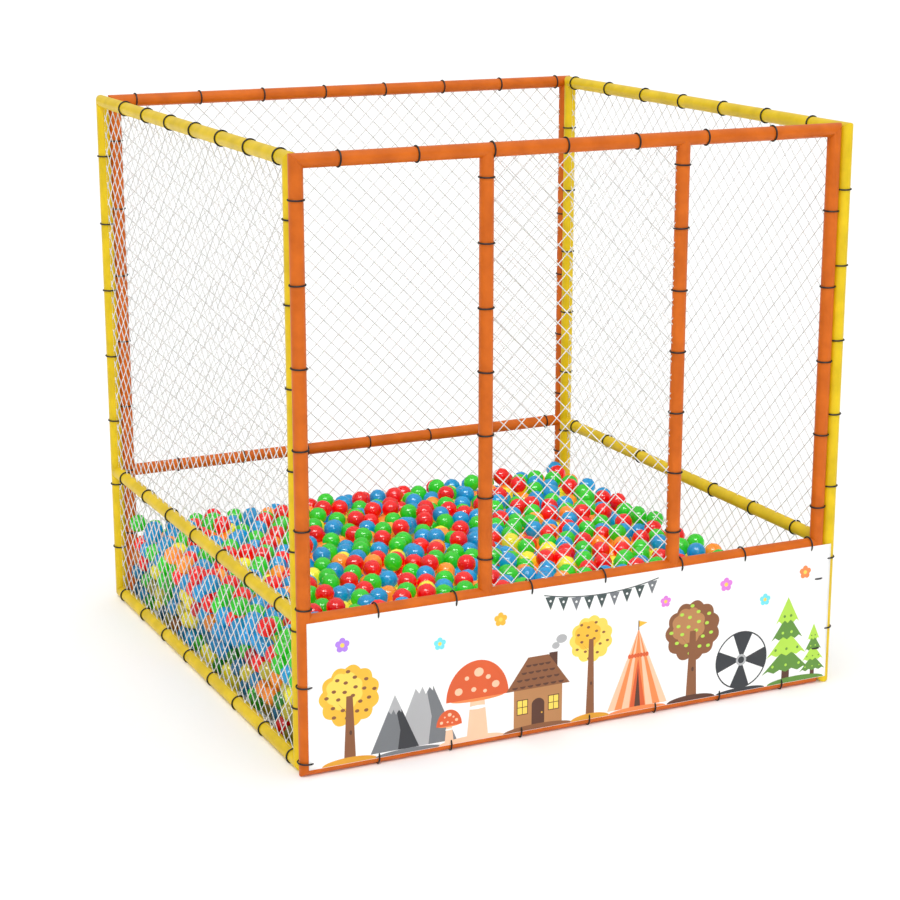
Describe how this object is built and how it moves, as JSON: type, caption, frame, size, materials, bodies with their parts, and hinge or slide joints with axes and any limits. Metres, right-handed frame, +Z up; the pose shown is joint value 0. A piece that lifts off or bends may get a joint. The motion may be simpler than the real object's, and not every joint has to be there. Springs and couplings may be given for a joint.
{
  "type": "ball pit",
  "caption": "Square ball pit: foam-sleeved tube frame with net walls, a low front wall with a banner, doorways beside a net bay, and a bed of hollow plastic balls.",
  "frame": {"origin": "on the floor, under the middle of the overall box", "axes": "+Z up; the front panel with the banner and the doorways faces -Y"},
  "size_m": [2, 2.0032, 1.96],
  "materials": {
    "orange_foam": "satin",
    "yellow_foam": "satin",
    "galvanised_steel": "satin",
    "zinc_plated_steel": "satin",
    "white_net_cord": "matte",
    "white_banner": "satin",
    "black_nylon": "satin",
    "mixed_balls": "gloss",
    "green_ball": "gloss",
    "red_ball": "gloss",
    "blue_ball": "gloss",
    "yellow_ball": "gloss"
  },
  "bodies": {
    "pit": {"front_left_post_sleeve": "orange_foam", "front_right_post_sleeve": "orange_foam", "front_top_rail_sleeve": "orange_foam", "front_mid_rail_sleeve": "orange_foam", "front_bottom_rail_sleeve": "orange_foam", "front_steel_frame": "galvanised_steel", "front_left_door_post_sleeve": "orange_foam", "front_right_door_post_sleeve": "orange_foam", "front_middle_net": "white_net_cord", "right_front_post_sleeve": "yellow_foam", "right_back_post_sleeve": "yellow_foam", "right_top_rail_sleeve": "yellow_foam", "right_mid_rail_sleeve": "yellow_foam", "right_bottom_rail_sleeve": "yellow_foam", "right_steel_frame": "galvanised_steel", "right_upper_net": "white_net_cord", "right_lower_net": "white_net_cord", "back_right_post_sleeve": "orange_foam", "back_left_post_sleeve": "orange_foam", "back_top_rail_sleeve": "orange_foam", "back_mid_rail_sleeve": "orange_foam", "back_bottom_rail_sleeve": "orange_foam", "back_steel_frame": "galvanised_steel", "back_upper_net": "white_net_cord", "back_lower_net": "white_net_cord", "left_back_post_sleeve": "yellow_foam", "left_front_post_sleeve": "yellow_foam", "left_top_rail_sleeve": "yellow_foam", "left_mid_rail_sleeve": "yellow_foam", "left_bottom_rail_sleeve": "yellow_foam", "left_steel_frame": "galvanised_steel", "left_upper_net": "white_net_cord", "left_lower_net": "white_net_cord", "corner_bolt_front_left_lower": "zinc_plated_steel", "corner_bolt_front_left_upper": "zinc_plated_steel", "corner_bolt_front_right_lower": "zinc_plated_steel", "corner_bolt_front_right_upper": "zinc_plated_steel", "corner_bolt_back_right_lower": "zinc_plated_steel", "corner_bolt_back_right_upper": "zinc_plated_steel", "corner_bolt_back_left_lower": "zinc_plated_steel", "corner_bolt_back_left_upper": "zinc_plated_steel", "front_banner": "white_banner", "banner_tie_1": "black_nylon", "banner_tie_2": "black_nylon", "banner_tie_3": "black_nylon", "banner_tie_4": "black_nylon", "banner_tie_5": "black_nylon", "banner_tie_6": "black_nylon", "banner_tie_7": "black_nylon", "ball_bed": "mixed_balls"},
    "loose_ball_green_1": {"loose_ball_green_1": "green_ball"},
    "loose_ball_green_2": {"loose_ball_green_2": "green_ball"},
    "loose_ball_red_1": {"loose_ball_red_1": "red_ball"},
    "loose_ball_red_2": {"loose_ball_red_2": "red_ball"},
    "loose_ball_blue_1": {"loose_ball_blue_1": "blue_ball"},
    "loose_ball_yellow_1": {"loose_ball_yellow_1": "yellow_ball"}
  },
  "joints": [
    {"name": "loose_ball_green_1_lift", "type": "slide", "parent": "pit", "child": "loose_ball_green_1", "axis": [0, 0, 1], "range_m": [0, 1.72]},
    {"name": "loose_ball_green_2_lift", "type": "slide", "parent": "pit", "child": "loose_ball_green_2", "axis": [0, 0, 1], "range_m": [0, 1.72]},
    {"name": "loose_ball_red_1_lift", "type": "slide", "parent": "pit", "child": "loose_ball_red_1", "axis": [0, 0, 1], "range_m": [0, 1.72]},
    {"name": "loose_ball_red_2_lift", "type": "slide", "parent": "pit", "child": "loose_ball_red_2", "axis": [0, 0, 1], "range_m": [0, 1.72]},
    {"name": "loose_ball_blue_1_lift", "type": "slide", "parent": "pit", "child": "loose_ball_blue_1", "axis": [0, 0, 1], "range_m": [0, 1.72]},
    {"name": "loose_ball_yellow_1_lift", "type": "slide", "parent": "pit", "child": "loose_ball_yellow_1", "axis": [0, 0, 1], "range_m": [0, 1.72]}
  ]
}
